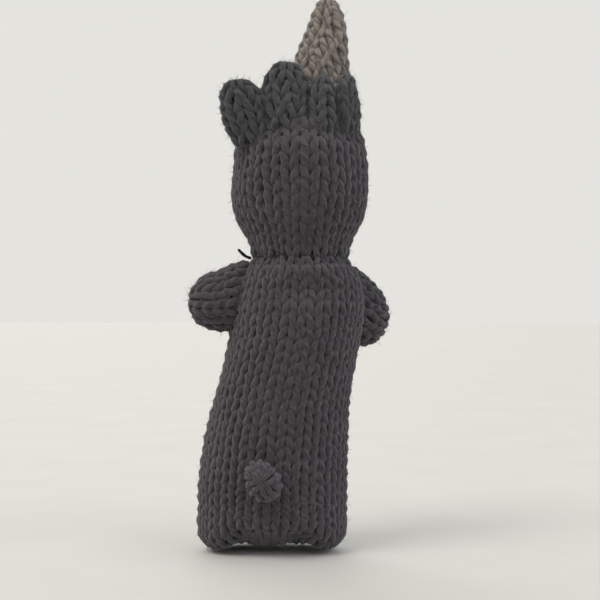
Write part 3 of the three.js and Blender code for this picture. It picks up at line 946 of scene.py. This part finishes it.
def centreline(node, count):
    """Points along the middle of a thin bent node, in order of X or, for an upright one, of Z."""
    points = vertices_of(node)
    axis = 0 if np.ptp(points[:, 0]) > np.ptp(points[:, 2]) else 2
    edges = np.linspace(points[:, axis].min(), points[:, axis].max(), count + 1)
    middles = []
    for low, high in zip(edges, edges[1:]):
        inside = points[(points[:, axis] >= low - 1e-6) & (points[:, axis] <= high + 1e-6)]
        if len(inside):
            middles.append((inside.min(0) + inside.max(0)) / 2)
    return np.array(middles)


def make_stitches():
    """The mouth and the nostrils: doubled thread lying on the muzzle, its ends drawn into it."""
    for node, count in (("mouth_stitch", 6), ("left_nostril_stitch", 3), ("right_nostril_stitch", 3)):
        line = centreline(node, count)
        ends = [line[0] + [0, 2.4 * MM, 0], line[-1] + [0, 2.4 * MM, 0]]
        path = catmull_rom(np.array([ends[0], *(line + [0, 0.75 * MM, 0]), ends[1]]), 6)
        up = np.tile([0.0, -1.0, 0.12], (len(path), 1))
        apart = np.array([0, 0, 0.34 * MM]) if count > 3 else np.array([0.34 * MM, 0, 0])
        strands = [(path + apart * way, up, 0.36 * MM) for way in (-1, 1)]
        obj, _, _ = strand_object(node + "_thread", strands, thread, closed=False, ply=0.14)
        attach(obj, "head")
        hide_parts(node)


def drilled_bead(name, centre, radius):
    """A bead with a hole through it from side to side."""
    sides, hole = 32, 0.24 * radius
    profile = []
    for angle in np.linspace(-1.33, 1.33, 15):
        profile.append((radius * math.cos(angle), radius * 0.94 * math.sin(angle)))
    profile.append((hole, radius * 0.86))
    profile.append((hole, -radius * 0.86))
    theta = np.arange(sides) * TAU / sides
    points = [[r * math.cos(a), x, r * math.sin(a)] for r, x in profile for a in theta]
    points = centre + np.array(points)[:, [1, 2, 0]]
    count = len(profile)
    faces = []
    for i in range(count):
        for k in range(sides):
            a, b = i * sides + k, i * sides + (k + 1) % sides
            c, d = ((i + 1) % count) * sides + (k + 1) % sides, ((i + 1) % count) * sides + k
            faces.append((a, b, c, d))
    return mesh_object(name, points, faces, bead_black)


def make_eyes():
    """Polished beads, each held by a thread through its hole."""
    for side in ("left", "right"):
        node = side + "_eye_bead"
        low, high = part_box(node)
        centre = np.array((low + high) / 2)
        radius = (high.x - low.x) / 2
        bead = drilled_bead(side + "_eye", centre, radius)
        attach(bead, "head")
        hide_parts(node)
        arc = np.linspace(-1.0, 1.0, 9)
        x, y = centre[0] + radius * 1.25 * arc, centre[1] + radius * (0.15 + 1.1 * arc**4)
        path = np.stack([x, y, 0 * arc + centre[2]], -1)
        up = np.tile([0.0, 0.0, 1.0], (len(path), 1))
        loop, _, _ = strand_object(side + "_eye_thread", [(path, up, 0.2 * MM)], thread, closed=False)
        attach(loop, "head")


# ---- the neck thread and the stuffing ----


def make_neck_thread():
    """Two turns of thread drawn tight round the neck, and its cut end."""
    low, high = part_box("neck_gather_thread")
    radius = (high.x - low.x) / 2 - 1.05 * MM
    angle = np.linspace(0, TAU, 96, endpoint=False)
    turns = []
    for way in (-1, 1):
        height = neck[2] + way * 0.34 * MM + 0.16 * MM * np.sin(2 * angle + way)
        pulled = radius - 0.25 * MM * (0.5 + 0.5 * np.cos(BODY_WALES / 2 * angle))
        path = np.stack([neck[0] + pulled * np.cos(angle), neck[1] + pulled * np.sin(angle), height], -1)
        up = np.stack([np.cos(angle), np.sin(angle), 0 * angle], -1)
        turns.append((path, up, 0.36 * MM))
    ring, _, _ = strand_object("neck_thread", turns, thread, ply=0.14)
    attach(ring, "neck")
    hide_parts("neck_gather_thread")
    end_low, end_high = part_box("neck_thread_end")
    start = np.array([end_low.x - 0.6 * MM, end_low.y, end_low.z])
    tip = np.array([end_high.x, end_high.y, end_high.z])
    path = catmull_rom(np.array([start, start * 0.6 + tip * 0.4 + [0.3 * MM, 0, -0.2 * MM], tip]), 6)
    up = np.tile([0.0, 1.0, 0.0], (len(path), 1))
    cut_end, _, _ = strand_object("neck_thread_tail", [(path, up, 0.34 * MM)], thread, closed=False)
    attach(cut_end, "neck")
    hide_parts("neck_thread_end")


STUFFED = {
    "head_stuffing": "head",
    "horn_stuffing": "horn",
    "muzzle_stuffing": "head",
    "left_arm_stuffing": "left_arm",
    "right_arm_stuffing": "right_arm",
}


def softened_copy(node, name, size):
    """A finely remeshed and smoothed copy of a node's solid."""
    copy = bpy.data.objects.new(name, frame["nodes"][node].data.copy())
    bpy.context.scene.collection.objects.link(copy)
    copy.data.materials.clear()
    copy.data.materials.append(fibrefill)
    for kind, settings in (
        ("REMESH", {"mode": "VOXEL", "voxel_size": size / 34}),
        ("SMOOTH", {"factor": 0.6, "iterations": 3}),
    ):
        modifier = copy.modifiers.new(kind.lower(), kind)
        for key, value in settings.items():
            setattr(modifier, key, value)
    bpy.context.view_layer.objects.active = copy
    evaluated = copy.evaluated_get(bpy.context.evaluated_depsgraph_get())
    mesh = bpy.data.meshes.new_from_object(evaluated)
    copy.modifiers.clear()
    copy.data = mesh
    return copy


def make_stuffing():
    """Fibrefill: lumpy bodies of loose fibre inside the head, horn, muzzle and arms."""
    for seed, (node, body) in enumerate(STUFFED.items(), 200):
        low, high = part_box(node)
        size = max(high - low)
        filling = softened_copy(node, node.replace("stuffing", "fibrefill"), size)
        mesh = filling.data
        points = np.array([v.co for v in mesh.vertices])
        normals = np.array([v.normal for v in mesh.vertices])
        dents = lumps(seed, 0.05 * size, 0.28 * size)(points)
        dents = dents + lumps(seed + 50, 0.03 * size, 0.1 * size)(points)
        points = points + normals * (np.minimum(dents, 0.0) - 0.9 * MM)[:, None]
        mesh.vertices.foreach_set("co", points.astype(np.float32).ravel())
        mesh.polygons.foreach_set("use_smooth", np.ones(len(mesh.polygons), bool))
        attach(filling, body)
        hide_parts(node)


# ---- stage, light and camera ----


def make_stage():
    bpy.ops.mesh.primitive_plane_add(size=6.0)
    floor = bpy.context.object
    floor.name = "floor"
    floor.data.materials.append(floor_material("pale_floor"))
    world = bpy.data.worlds.new("studio")
    bpy.context.scene.world = world
    world.use_nodes = True
    world.node_tree.nodes["Background"].inputs["Color"].default_value = (0.93, 0.92, 0.88, 1)
    world.node_tree.nodes["Background"].inputs["Strength"].default_value = 0.84


def soft_sun(name, come_from, strength, spread, colour):
    """Even light from far away, its shadows softened by the spread of its disc in degrees."""
    data = bpy.data.lights.new(name, "SUN")
    data.energy, data.angle, data.color = strength, math.radians(spread), colour
    lamp = bpy.data.objects.new(name, data)
    lamp.rotation_euler = (-Vector(come_from)).to_track_quat("-Z", "Y").to_euler()
    bpy.context.scene.collection.objects.link(lamp)


def make_light():
    """A warm key light and a cool fill behind the puppet, where the camera is, and a fill on its face."""
    soft_sun("key", (0.7, 0.65, 1.25), 1.35, 30, (1.0, 0.96, 0.90))
    soft_sun("cool_fill", (-0.9, 0.55, 0.7), 0.6, 45, (0.88, 0.93, 1.0))
    soft_sun("face_fill", (0.25, -1.0, 0.6), 0.9, 45, (1.0, 0.99, 0.97))


def make_camera():
    """Behind the puppet, level with its middle, so close that the horn's tip just leaves the picture."""
    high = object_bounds()[1]
    framed_height = 130.4 * MM
    distance = 300 * MM
    tip_cut_off = 1.6 * MM
    camera = bpy.data.objects.new("camera", bpy.data.cameras.new("camera"))
    camera.data.lens = camera.data.sensor_width * distance / framed_height
    camera.data.clip_start = 0.01
    eye_height = high.z - tip_cut_off - framed_height / 2
    camera.location = (neck[0], neck[1] + distance, eye_height)
    camera.rotation_euler = (math.pi / 2, 0, math.pi)
    bpy.context.scene.collection.objects.link(camera)
    bpy.context.scene.camera = camera


make_camera()
make_stage()
make_light()
make_body()
make_head()
make_ears()
make_crown_lobes()
make_horn()
make_arms()
make_tail()
make_muzzle()
make_stitches()
make_eyes()
make_neck_thread()
make_stuffing()

bpy.context.scene.view_settings.view_transform = "Standard"
